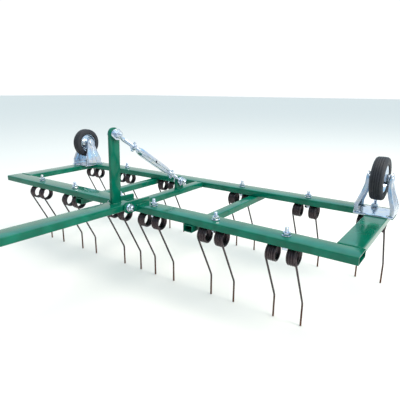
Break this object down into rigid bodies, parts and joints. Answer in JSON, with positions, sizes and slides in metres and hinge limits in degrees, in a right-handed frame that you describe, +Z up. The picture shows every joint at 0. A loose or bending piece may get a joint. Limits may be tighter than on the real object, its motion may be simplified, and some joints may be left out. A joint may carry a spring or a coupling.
{
  "type": "lawn dethatcher",
  "caption": "Tow-behind lawn dethatcher: flat tube frame with two rows of double-coil spring tines, hinged drawbar with hitch pin, adjusting turnbuckle and transport castors.",
  "frame": {"origin": "on the ground under the middle of the whole machine, where the tine tips stand", "axes": "+X along the rails, +Y away from the hitch, +Z up"},
  "size_m": [1.365, 1.2268, 0.4839],
  "materials": {
    "green_paint": "gloss",
    "spring_steel": "satin",
    "zinc_plate": "satin",
    "black_rubber": "matte"
  },
  "bodies": {
    "frame": {"front_rail": "green_paint", "rear_rail": "green_paint", "left_side_rail": "green_paint", "right_side_rail": "green_paint", "centre_rail": "green_paint", "left_cross_member": "green_paint", "right_cross_member": "green_paint", "hinge_ear_left": "green_paint", "hinge_ear_right": "green_paint", "turnbuckle_lug": "green_paint", "tine_front_1": "spring_steel", "tine_front_2": "spring_steel", "tine_front_3": "spring_steel", "tine_front_4": "spring_steel", "tine_front_5": "spring_steel", "tine_front_6": "spring_steel", "tine_rear_1": "spring_steel", "tine_rear_2": "spring_steel", "tine_rear_3": "spring_steel", "tine_rear_4": "spring_steel", "tine_rear_5": "spring_steel", "tine_rear_6": "spring_steel", "tine_bolt_front_1": "zinc_plate", "tine_bolt_front_2": "zinc_plate", "tine_bolt_front_3": "zinc_plate", "tine_bolt_front_4": "zinc_plate", "tine_bolt_front_5": "zinc_plate", "tine_bolt_front_6": "zinc_plate", "tine_bolt_rear_1": "zinc_plate", "tine_bolt_rear_2": "zinc_plate", "tine_bolt_rear_3": "zinc_plate", "tine_bolt_rear_4": "zinc_plate", "tine_bolt_rear_5": "zinc_plate", "tine_bolt_rear_6": "zinc_plate", "castor_bracket_left": "zinc_plate", "castor_bracket_right": "zinc_plate", "castor_axle_left": "zinc_plate", "castor_axle_right": "zinc_plate", "hinge_bolt": "zinc_plate", "turnbuckle_lower_bolt": "zinc_plate"},
    "drawbar": {"drawbar_tube": "green_paint", "mast": "green_paint", "mast_bolt": "zinc_plate", "hitch_top_plate": "green_paint", "hitch_bottom_plate": "green_paint", "hitch_bolt_front": "zinc_plate", "hitch_bolt_rear": "zinc_plate"},
    "turnbuckle_lower": {"turnbuckle_lower_eye": "zinc_plate"},
    "lock_nuts": {"turnbuckle_lower_lock_nut": "zinc_plate", "turnbuckle_upper_lock_nut": "zinc_plate"},
    "turnbuckle_sleeve": {"turnbuckle_sleeve": "zinc_plate"},
    "turnbuckle_upper": {"turnbuckle_upper_eye": "zinc_plate"},
    "castor_wheel_left": {"castor_rim_left": "zinc_plate", "castor_tyre_left": "black_rubber"},
    "castor_wheel_right": {"castor_rim_right": "zinc_plate", "castor_tyre_right": "black_rubber"},
    "hitch_pin": {"hitch_pin": "zinc_plate"},
    "hitch_clip": {"hitch_clip": "zinc_plate"}
  },
  "joints": [
    {"name": "drawbar_tilt", "type": "hinge", "parent": "frame", "child": "drawbar", "pos_m": [0, 0.12977, 0.253], "axis": [1, 0, 0], "range_deg": [-8, 8]},
    {"name": "turnbuckle_swing", "type": "hinge", "parent": "frame", "child": "turnbuckle_lower", "pos_m": [0.01, 0.41177, 0.278], "axis": [1, 0, 0], "range_deg": [-4, 4]},
    {"name": "lock_nut_slide", "type": "slide", "parent": "turnbuckle_lower", "child": "lock_nuts", "axis": [0, -0.8442, 0.5361], "range_m": [-0.014, 0.014]},
    {"name": "sleeve_spin", "type": "hinge", "parent": "lock_nuts", "child": "turnbuckle_sleeve", "pos_m": [0.01, 0.27079, 0.36753], "axis": [0, -0.8442, 0.5361], "continuous": true},
    {"name": "upper_eye_slide", "type": "slide", "parent": "turnbuckle_lower", "child": "turnbuckle_upper", "axis": [0, -0.8442, 0.5361], "range_m": [-0.027, 0.027]},
    {"name": "castor_roll_left", "type": "hinge", "parent": "frame", "child": "castor_wheel_left", "pos_m": [-0.63, 0.52477, 0.351], "axis": [1, 0, 0], "continuous": true},
    {"name": "castor_roll_right", "type": "hinge", "parent": "frame", "child": "castor_wheel_right", "pos_m": [0.63, 0.52477, 0.351], "axis": [1, 0, 0], "continuous": true},
    {"name": "hitch_pin_lift", "type": "slide", "parent": "drawbar", "child": "hitch_pin", "axis": [0, 0.0255, 0.9997], "range_m": [0, 0.07]},
    {"name": "hitch_clip_swing", "type": "hinge", "parent": "hitch_pin", "child": "hitch_clip", "pos_m": [0, -0.57848, 0.29166], "axis": [-0.2588, 0.9656, -0.0246], "range_deg": [0, 156]}
  ],
  "couplings": [
    {"joint": "turnbuckle_swing", "follows": "drawbar_tilt", "ratio": 0.35735},
    {"joint": "upper_eye_slide", "follows": "drawbar_tilt", "m_per_rad": 0.17228},
    {"joint": "lock_nut_slide", "follows": "drawbar_tilt", "m_per_rad": 0.08614},
    {"joint": "hitch_clip_swing", "follows": "hitch_pin_lift", "rad_per_m": 38.4}
  ]
}
